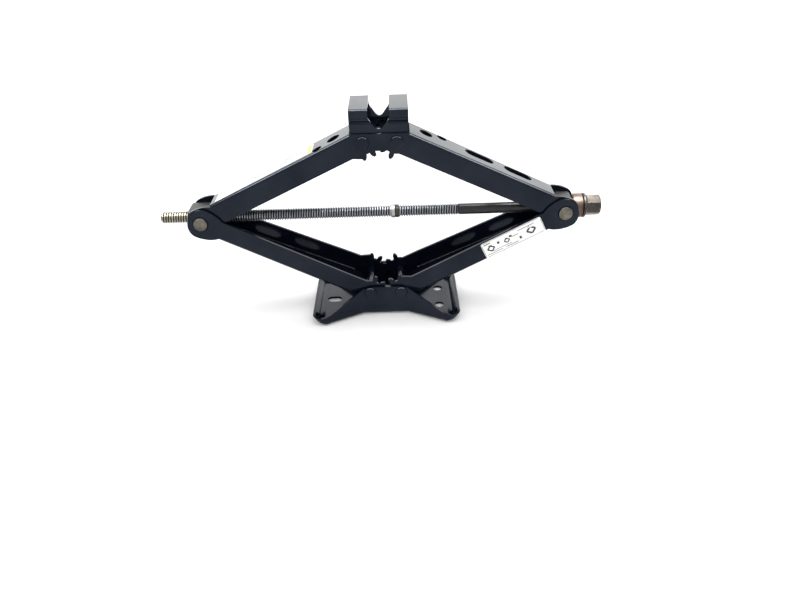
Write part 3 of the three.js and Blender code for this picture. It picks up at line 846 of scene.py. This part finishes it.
def sheet_section(path, thickness):
    """A closed section: the outer path and the same path moved in by the sheet's thickness."""
    inner = []
    for i, point in enumerate(path):
        before = Vector(path[max(i - 1, 0)])
        after = Vector(path[min(i + 1, len(path) - 1)])
        along = (after - before).normalized()
        inner.append((point[0] - along.y * thickness, point[1] + along.x * thickness))
    return path + inner[::-1]


def saddle_outline():
    low, corner, half = SADDLE_BOTTOM, SADDLE_CORNER, SADDLE_HALF
    right = arc(half - corner, low + corner, corner, -QUARTER_TURN, 0, 8) + [(half, SADDLE_TOP + 1)]
    return mirrored(right) + right


def slot_outline():
    """Straight sides, then a V that ends in a rounded foot."""
    straight, slope, foot = (SADDLE_TOP - depth for depth in SLOT_DEPTHS)
    wide, steps = SLOT_HALF, 5
    half = [(wide, SADDLE_TOP + 2), (wide, straight + 2.4), (wide - 0.25, straight + 1.1)]
    half += [(wide - 0.8, straight - 0.3), (wide - 1.7, straight - 1.7), (SLOT_FOOT + 1, slope + 1.2)]
    for k in range(steps + 1):
        share = 1 - k / steps
        half.append((SLOT_FOOT * share, foot + (slope - foot) * share * share))
    return half + mirrored(half[:-1])


def saddle_mesh():
    """The folded section pushed along X, trimmed to the side outline, then slotted and drilled."""
    right = saddle_side()
    section = sheet_section(right + mirrored(right), SADDLE_SHEET)
    wide = SADDLE_HALF + 1
    body = grid_solid("saddle_pressing", [[(x, y, z) for y, z in section] for x in (-wide, wide)])
    reach = SKIRT_HALF + 2
    outline = prism("outline", saddle_outline(), -reach, reach)
    combine("INTERSECT", body, outline)
    tools = [prism("slot", slot_outline(), -reach, reach)] + pivot_tools(0, reach)
    return soften(combine("DIFFERENCE", body, *tools), 0.5)


def saddle():
    thing = place(saddle_mesh(), Matrix.Translation((0, 0, SADDLE_PIVOT_Z)))
    fitted(thing, "saddle", "paint", PAINT, "saddle")
    rivets("saddle", SADDLE_PIVOT_Z, SKIRT_HALF)


saddle()


# -------- trunnions
BLOCK_HALF_X = 16
BLOCK_HALF_Y = 15.2
BLOCK_HALF_Z = 13
THRUST_RIGHT = ends("bearing_cup")[0] - TRUNNION.x - GAP


def trunnion_mesh(name, low_x, high_x, bore):
    """A block with a pin out of each side, a dimple in each pin's end, and the screw's bore through it."""
    sides = [(low_x, -BLOCK_HALF_Z), (high_x, -BLOCK_HALF_Z), (high_x, BLOCK_HALF_Z), (low_x, BLOCK_HALF_Z)]
    body = soften(prism(name, sides, -BLOCK_HALF_Y, BLOCK_HALF_Y), 3, 3)
    end, pin = JOURNAL_END, PIN_RADIUS
    corners = [(end - 0.35, 0), (end - 0.35, 1.1), (end - 0.12, 1.7), (end - 0.1, pin - 2.2)]
    corners += [(end, pin - 1.6), (end, pin - 0.9), (end - 0.3, pin - 0.3), (end - 1, pin), (0, pin)]
    profile = [(-along, radius) for along, radius in corners] + corners[-2::-1]
    combine("UNION", body, lathe("journals", profile, 64, "y"))
    hole = lathe("bore", [(low_x - 2, 0), (low_x - 2, bore), (high_x + 2, bore), (high_x + 2, 0)], 48)
    return soften(combine("DIFFERENCE", body, hole), 0.25)


# -------- screw, bearing, drive head
SCREW_LINE = Matrix.Translation((0, 0, TRUNNION.z))
SCREW_LEFT = ends("lead_screw")[0]
CUP_LEFT, CUP_RIGHT = ends("bearing_cup")
HEAD_LEFT, HEAD_RIGHT = ends("drive_head")
STEPS_ROUND = 28
THREAD_PROFILE = [(0, 0), (0.3, 0), (0.52, 1), (0.78, 1)]
CHAMFER_DEPTH = 1.9

RING_RADIUS = 8.1
CRIMP_RADIUS = 7.8
COLLAR_LENGTH = 6

CUP_RADIUS = 14.4
CUP_SHEET = 1.4
CUP_BEND = 3
RACE_BORE = 7.4
RACE_RADIUS = 12.6
RACE_EDGE = 0.35
BALL_CIRCLE = 9.9
BALL_RADIUS = 2
BALL_COUNT = 10
GROOVE_HALF = 1.5
GROOVE_DEPTH = 0.35
CAGE_BORE = 6.95
POCKET_RADIUS = 2.25

HEX_ACROSS = 22
HEX_LENGTH = 16.5
HEX_TURN = math.radians(24)
HUB_RADIUS = 10
FLANGE_RADIUS = 14.7


def thread_radius(x, depth):
    """Radius at a point of the thread, brought down over the chamfered end and the run-out."""
    radius = SCREW_RADIUS - THREAD_DEPTH * depth
    chamfer = SCREW_RADIUS - CHAMFER_DEPTH + (x - SCREW_LEFT)
    run_out = SHANK_RADIUS - 0.05 + max(THREAD_RIGHT - 2 - x, 0) * 0.5
    return min(radius, chamfer, run_out)


def thread_mesh():
    """A right-hand helix of one pitch's profile, closed with a flat fan at both ends."""
    turns = math.ceil((THREAD_RIGHT - SCREW_LEFT) / SCREW_PITCH) + 1
    rows = turns * STEPS_ROUND
    columns = len(THREAD_PROFILE)
    points, faces = [], []
    for row in range(rows + STEPS_ROUND + 1):
        turn = -FULL_TURN * row / STEPS_ROUND
        for share, depth in THREAD_PROFILE:
            x = max(SCREW_LEFT - SCREW_PITCH + SCREW_PITCH * (row / STEPS_ROUND + share), SCREW_LEFT)
            radius = thread_radius(x, depth)
            points.append((x, radius * math.cos(turn), radius * math.sin(turn)))

    def index(row, column):
        return (row + STEPS_ROUND) * columns if column == columns else row * columns + column

    for row in range(rows):
        for column in range(columns):
            near, far = index(row, column), index(row + 1, column)
            faces.append((near, index(row, column + 1), index(row + 1, column + 1), far))
    thing = new_object("screw_thread", points, faces)
    for start, middle in ((0, SCREW_LEFT), (rows, THREAD_RIGHT + SCREW_PITCH)):
        loop = [index(start + row, 0) for row in range(STEPS_ROUND + 1)]
        loop += [index(start, column) for column in range(columns - 1, 0, -1)]
        close_fan(thing, loop, (middle, 0, 0))
    return clean_solid(thing)


def close_fan(thing, loop, centre):
    """Closes an open end with triangles from its loop of corners to a middle point."""
    with edited(thing) as editor:
        middle = editor.verts.new(Vector(centre) * MM)
        editor.verts.ensure_lookup_table()
        for a, b in zip(loop, loop[1:] + loop[:1]):
            first, second = editor.verts[a], editor.verts[b]
            if (first.co - second.co).length > 1e-9:
                editor.faces.new((first, second, middle))


def clean_solid(thing):
    """Takes out the corners and faces that the thread's flattened end leaves with no size."""
    with edited(thing) as editor:
        bmesh.ops.remove_doubles(editor, verts=editor.verts, dist=2e-6)
        bmesh.ops.dissolve_degenerate(editor, edges=editor.edges, dist=1e-6)
        loose = [v for v in editor.verts if not v.link_faces]
        bmesh.ops.delete(editor, geom=loose, context="VERTS")
        bmesh.ops.recalc_face_normals(editor, faces=editor.faces)
    return thing


def shank_mesh():
    """The smooth shank through the thrust block, and the spigot inside the drive head."""
    start, shank, end = THREAD_RIGHT - 1, SHANK_RADIUS, HEAD_RIGHT - 0.6
    corners = [(start, 0), (start, shank - 0.1), (THREAD_RIGHT, shank), (CUP_RIGHT - 0.4, shank)]
    corners += [(CUP_RIGHT, shank - 0.4), (CUP_RIGHT, SPIGOT_RADIUS), (end - 0.5, SPIGOT_RADIUS)]
    return lathe("screw_shank", corners + [(end, SPIGOT_RADIUS - 0.5), (end, 0)])


def ring_mesh(name, corners, segments=48):
    return shade(lathe(name, [*corners, corners[0]], segments))


def stop_ring_mesh():
    """A collar and its thinner crimped tail."""
    left, right = ends("stop_ring")
    step, bore = left + COLLAR_LENGTH, SCREW_RADIUS + RUNNING_GAP
    corners = [(left, bore), (left, RING_RADIUS - 0.8), (left + 0.8, RING_RADIUS), (step - 0.8, RING_RADIUS)]
    corners += [(step, RING_RADIUS - 0.8), (step, CRIMP_RADIUS + 0.2), (step + 0.3, CRIMP_RADIUS)]
    corners += [(right - 0.7, CRIMP_RADIUS), (right, CRIMP_RADIUS - 0.7), (right, bore)]
    return ring_mesh("stop_collar", corners)


def cup_bend(radius, turns):
    """Points round the cup's bend, from the floor's side to the wall's."""
    x, y = CUP_LEFT + CUP_BEND, CUP_RADIUS - CUP_BEND
    return [(x - radius * math.cos(turn), y + radius * math.sin(turn)) for turn in turns]


def cup_mesh():
    outer = cup_bend(CUP_BEND, (0, 0.4, 0.8, 1.2, QUARTER_TURN))
    inner = cup_bend(CUP_BEND - CUP_SHEET, (QUARTER_TURN, 1.0, 0.5, 0))
    rim = [(CUP_RIGHT - 0.5, CUP_RADIUS), (CUP_RIGHT, CUP_RADIUS - 0.4), (CUP_RIGHT, CUP_RADIUS - CUP_SHEET)]
    corners = [(CUP_LEFT, RACE_BORE), *outer, *rim, *inner, (CUP_LEFT + CUP_SHEET, RACE_BORE)]
    return ring_mesh("bearing_shell", corners, 64)


def race_mesh(name, face, back):
    """A flat ring with a shallow ball groove in its face."""
    inward = math.copysign(1, back - face)
    edge, low, high = inward * RACE_EDGE, RACE_BORE + RACE_EDGE, RACE_RADIUS - RACE_EDGE
    groove = [(math.sin(t), GROOVE_HALF * math.cos(t)) for t in (0, 0.5, 1.0, 1.57, 2.14, 2.64, math.pi)]
    track = [(face + inward * GROOVE_DEPTH * share, BALL_CIRCLE + across) for share, across in groove]
    corners = [(back, high), (back - edge, RACE_RADIUS), (face + edge, RACE_RADIUS), (face, high), *track]
    corners += [(face, low), (face + edge, RACE_BORE), (back - edge, RACE_BORE), (back, low)]
    return ring_mesh(name, corners, 64)


def cage_mesh():
    """A flat ring with a pocket for each ball."""
    low, high = ends("ball_cage")
    section = [(low, CAGE_BORE), (low, RACE_RADIUS), (high, RACE_RADIUS), (high, CAGE_BORE)]
    pocket = [(low - 1, 0), (low - 1, POCKET_RADIUS), (high + 1, POCKET_RADIUS), (high + 1, 0)]
    tools = []
    for k in range(BALL_COUNT):
        middle = ball_place(k)
        tools.append(lathe("pocket", pocket, 20, "x", (0, middle.y, middle.z - TRUNNION.z)))
    return soften(combine("DIFFERENCE", ring_mesh("bearing_cage", section, 80), *tools), 0.12, 1)


def ball_place(k):
    low, high = span(f"bearing_ball_{k + 1}")
    return (low + high) / 2


def ball_mesh(k):
    thing = new_object(f"thrust_ball_{k + 1}", [], [])
    with edited(thing) as editor:
        bmesh.ops.create_icosphere(editor, subdivisions=3, radius=BALL_RADIUS * MM)
    return shade(place(thing, Matrix.Translation(ball_place(k))))


def drive_head_mesh():
    """A hex with a coned end, on a washer flange and a short hub."""
    flange_left, hex_left = HEAD_LEFT + 1, HEAD_RIGHT - HEX_LENGTH
    corner = HEX_ACROSS / math.sqrt(3)
    corners = [HEX_TURN + math.pi / 3 * k for k in range(6)]
    rings = []
    for x in (flange_left + 2, HEAD_RIGHT):
        rings.append([(x, corner * math.cos(t), corner * math.sin(t)) for t in corners])
    hexagon = grid_solid("drive_head_forging", rings)
    cone = [(flange_left, 0), (flange_left, corner + 2), (HEAD_RIGHT - 2.2, corner + 0.4)]
    cone += [(HEAD_RIGHT, corner - 2.6), (HEAD_RIGHT, 0)]
    combine("INTERSECT", hexagon, lathe("cone", cone, 96))
    washer = [(0, -0.4), (0.4, 0), (2.2, 0), (2.6, -0.4), (2.9, -1.3)]
    flange = [(HEAD_LEFT, 0), (HEAD_LEFT, HUB_RADIUS), (flange_left, HUB_RADIUS)]
    flange += [(flange_left + along, FLANGE_RADIUS + out) for along, out in washer]
    flange += [(hex_left, FLANGE_RADIUS - 2.5), (hex_left, 0)]
    combine("UNION", hexagon, lathe("flange", flange, 96))
    bore = SPIGOT_RADIUS + 0.2
    hole = [(HEAD_LEFT - 2, 0), (HEAD_LEFT - 2, bore), (HEAD_RIGHT + 2, bore), (HEAD_RIGHT + 2, 0)]
    return soften(combine("DIFFERENCE", hexagon, lathe("bore", hole, 40)), 0.35)


def blocks():
    """The nut on the left and the thrust block on the right, each at its trunnion."""
    nut = trunnion_mesh("nut_block", -BLOCK_HALF_X, BLOCK_HALF_X, SCREW_RADIUS + RUNNING_GAP)
    place(nut, Matrix.Translation((-TRUNNION.x, 0, TRUNNION.z)))
    fitted(nut, "nut", "pin_steel", PIN_STEEL, "screw_nut")
    block = trunnion_mesh("thrust_block", -BLOCK_HALF_X, THRUST_RIGHT, SHANK_RADIUS + RUNNING_GAP)
    place(block, Matrix.Translation((TRUNNION.x, 0, TRUNNION.z)))
    fitted(block, "thrust_trunnion", "pin_steel", PIN_STEEL, "thrust_trunnion")


def drive_line():
    """The screw and everything that sits round its axis."""
    screw = shade(combine("UNION", thread_mesh(), shank_mesh()), math.radians(50))
    pieces = [
        (screw, "screw", "screw_steel", THREAD_STEEL, "lead_screw"),
        (stop_ring_mesh(), "screw", "zinc", ZINC, "stop_ring"),
        (cup_mesh(), "thrust_trunnion", "cup_steel", CUP_STEEL, "bearing_cup"),
        (drive_head_mesh(), "screw", "head_steel", HEAD_STEEL, "drive_head"),
        (cage_mesh(), "bearing_cage", "cup_steel", CUP_STEEL, "ball_cage"),
    ]
    races = [
        ("race_fixed", ends("fixed_race")[::-1], "thrust_trunnion", "fixed_race"),
        ("race_turning", ends("turning_race"), "screw", "turning_race"),
    ]
    for name, (face, back), body, node in races:
        pieces.append((race_mesh(name, face, back), body, "bearing_steel", RACE_STEEL, node))
    for thing, body, slot, material, node in pieces:
        fitted(place(thing, SCREW_LINE), body, slot, material, node)
    for k in range(BALL_COUNT):
        fitted(ball_mesh(k), "bearing_cage", "bearing_steel", RACE_STEEL, f"bearing_ball_{k + 1}")


blocks()
drive_line()


# -------- labels
FILM = 0.25
FILM_LIFT = (0.05, FILM)
INK_LIFT = (FILM - 0.05, FILM + 0.06)
BORDER_MARGIN = 0.6
BORDER_THICK = 0.5

# Films and the stripe are (low u, high u, low v, high v), marks (u, v, length, height), signs (u, v, size).
SIDE_FILM = (112, 189.5, -10.4, 10.4)
SIDE_MARKS = [(115, -7.6, 9, 1), (115, 6.6, 20, 0.7), (139, 6.6, 16, 0.7), (159, -6.4, 22, 0.7),
              (122, 4.2, 26, 0.6), (150, -2.6, 8, 0.7)]
SIDE_SIGNS = [(122, 0.2, 9), (143, -0.6, 7), (174, 0.6, 11)]
SIDE_BLOCKS = [(131, -4.4, 3, 3), (147, -5.2, 3.4, 2.6), (158, 2, 2.6, 3.4)]
TOP_FILM = (58, 190, -14, 14)
TOP_STRIPE = (59.5, 64.5, -12, 12)
TOP_MARKS = [(66, -9, 30, 1.2), (66, -5, 44, 1), (66, -1, 40, 1), (66, 3, 46, 1), (66, 7, 28, 1),
             (124, -8, 22, 1), (124, -4, 26, 1), (124, 0, 18, 1), (156, -9, 24, 1), (156, -5, 20, 1)]


def rounded_rectangle(low_u, high_u, low_v, high_v, radius):
    right, left, bottom, top = high_u - radius, low_u + radius, low_v + radius, high_v - radius
    points = []
    for k, (u, v) in enumerate(((right, bottom), (right, top), (left, top), (left, bottom))):
        points += arc(u, v, radius, (k - 1) * QUARTER_TURN, k * QUARTER_TURN, 4)
    return points


def film(name, outlines, lift, place_point):
    """Thin raised prints: each (u, v) outline becomes a plate, put on the sheet by place_point."""
    points, faces = [], []
    for outline in outlines:
        start, count = len(points), len(outline)
        for height in lift:
            points += [place_point(u, v, height) for u, v in outline]
        for i in range(count):
            j = (i + 1) % count
            faces.append((start + i, start + j, start + count + j, start + count + i))
        faces.append(tuple(start + i for i in range(count)))
        faces.append(tuple(start + count + i for i in reversed(range(count))))
    return recalc(new_object(name, points, faces))


def bar(u, v, length, height):
    return [(u, v), (u + length, v), (u + length, v + height), (u, v + height)]


def side_point(u, v, lift):
    """On the lower right arm's near flange: u along the arm, v across it, lift away from the paint."""
    return arm_matrix(False, False) @ Vector((u, arm_half(LOWER, u) + lift, v))


def top_point(u, v, lift):
    """On top of the upper left arm's web."""
    return arm_matrix(True, True) @ Vector((u, v, UPPER["web"] + lift))


def pictogram(u, v, size):
    """A small generic jack sign: a rhombus drawn with four bars, and a foot."""
    half, thick = size / 2, size * 0.2
    corners = [Vector(c) for c in ((-half, 0), (0, half * 0.8), (half, 0), (0, -half * 0.8))]
    shapes = []
    for a, b in zip(corners, corners[1:] + corners[:1]):
        side = Vector((-(b - a).y, (b - a).x)).normalized() * thick / 2
        shapes.append([(u + p.x, v + p.y) for p in (a - side, b - side, b + side, a + side)])
    return shapes + [bar(u - half * 0.5, v - half, half, half * 0.2)]


def border_bars(low_u, high_u, low_v, high_v, thick, corner):
    """Four straight frame lines that stop short of the rounded corners."""
    wide, tall = high_u - low_u - 2 * corner, high_v - low_v - 2 * corner
    rows = [(low_u + corner, low_v, wide, thick), (low_u + corner, high_v - thick, wide, thick)]
    rows += [(low_u, low_v + corner, thick, tall), (high_u - thick, low_v + corner, thick, tall)]
    return [bar(*row) for row in rows]


def label_piece(name, side, outlines, lift, material, *nodes):
    place_point, body = side
    fitted(film(name, outlines, lift, place_point), body, "label", material, *nodes)


def side_label():
    side = (side_point, "lower_right")
    label_piece("side_film", side, [rounded_rectangle(*SIDE_FILM, 2.5)], FILM_LIFT, LABEL, "side_label")
    marks = [bar(*row) for row in SIDE_MARKS + SIDE_BLOCKS]
    for sign in SIDE_SIGNS:
        marks += pictogram(*sign)
    label_piece("side_print", side, marks, INK_LIFT, INK)
    inside = [edge + sign * BORDER_MARGIN for edge, sign in zip(SIDE_FILM, (1, -1, 1, -1))]
    label_piece("side_frame", side, border_bars(*inside, BORDER_THICK, 2), INK_LIFT, INK)


def top_label():
    side = (top_point, "upper_left")
    label_piece("top_film", side, [rounded_rectangle(*TOP_FILM, 2)], FILM_LIFT, LABEL, "top_label")
    label_piece("top_print", side, [bar(*row) for row in TOP_MARKS], INK_LIFT, INK)
    label_piece("top_stripe", side, [rounded_rectangle(*TOP_STRIPE, 0.8)], INK_LIFT, YELLOW)


side_label()
top_label()


# -------- floor, light, camera
FLOOR_SIZE = 12
WORLD_STRENGTH = 1.12
LIGHT_TARGET = (0, 0, 0.1)
TOP_LIGHT = ((0.4, 0.6, 2.4), (1.6, 1.6), 25)
# Two large soft lights that act on reflections only.
BACK_SHEEN = ((0.0, 2.0, 1.15), (3.4, 2.6), 34)
OVERHEAD_SHEEN = ((0.0, -0.15, 2.0), (4.6, 1.1), 320)


def floor():
    bpy.ops.mesh.primitive_plane_add(size=FLOOR_SIZE, location=(0, 0, 0))
    thing = bpy.context.object
    thing.name = "floor"
    material, shader, coords = node_material("floor_paper")
    tone = tones(noise(coords, 3, 2), (0.93, 0.93, 0.93), (0.96, 0.96, 0.96))
    wire(shader, {"Base Color": tone, "Roughness": 0.9})
    thing.data.materials.append(material)


def softbox(name, position, size, power):
    light = bpy.data.lights.new(name, "AREA")
    light.shape = "RECTANGLE"
    light.size, light.size_y = size
    light.energy = power
    thing = bpy.data.objects.new(name, light)
    thing.location = position
    aim = Vector(LIGHT_TARGET) - Vector(position)
    thing.rotation_euler = aim.to_track_quat("-Z", "Y").to_euler()
    bpy.context.scene.collection.objects.link(thing)
    return thing


def studio():
    floor()
    world = bpy.data.worlds.new("studio")
    world.use_nodes = True
    wire(world.node_tree.nodes["Background"], {"Color": (1, 1, 1), "Strength": WORLD_STRENGTH})
    bpy.context.scene.world = world
    softbox("light_top", *TOP_LIGHT)
    for name, light in (("light_back", BACK_SHEEN), ("light_over", OVERHEAD_SHEEN)):
        softbox(name, *light).visible_diffuse = False


CAMERA_PLACE = (0.0197, -0.774, 0.484)
CAMERA_PITCH = math.radians(32.1)
CAMERA_YAW = math.radians(-0.2)
CAMERA_ROLL = math.radians(-1.85)
CAMERA_LENS = 31.6


def camera():
    data = bpy.data.cameras.new("camera")
    data.lens = CAMERA_LENS
    thing = bpy.data.objects.new("camera", data)
    turn = Matrix.Rotation(-CAMERA_YAW, 4, "Z") @ Matrix.Rotation(QUARTER_TURN - CAMERA_PITCH, 4, "X")
    thing.matrix_world = Matrix.Translation(CAMERA_PLACE) @ turn @ Matrix.Rotation(CAMERA_ROLL, 4, "Z")
    bpy.context.scene.collection.objects.link(thing)
    bpy.context.scene.camera = thing
    bpy.context.scene.view_settings.view_transform = "Standard"


studio()
camera()
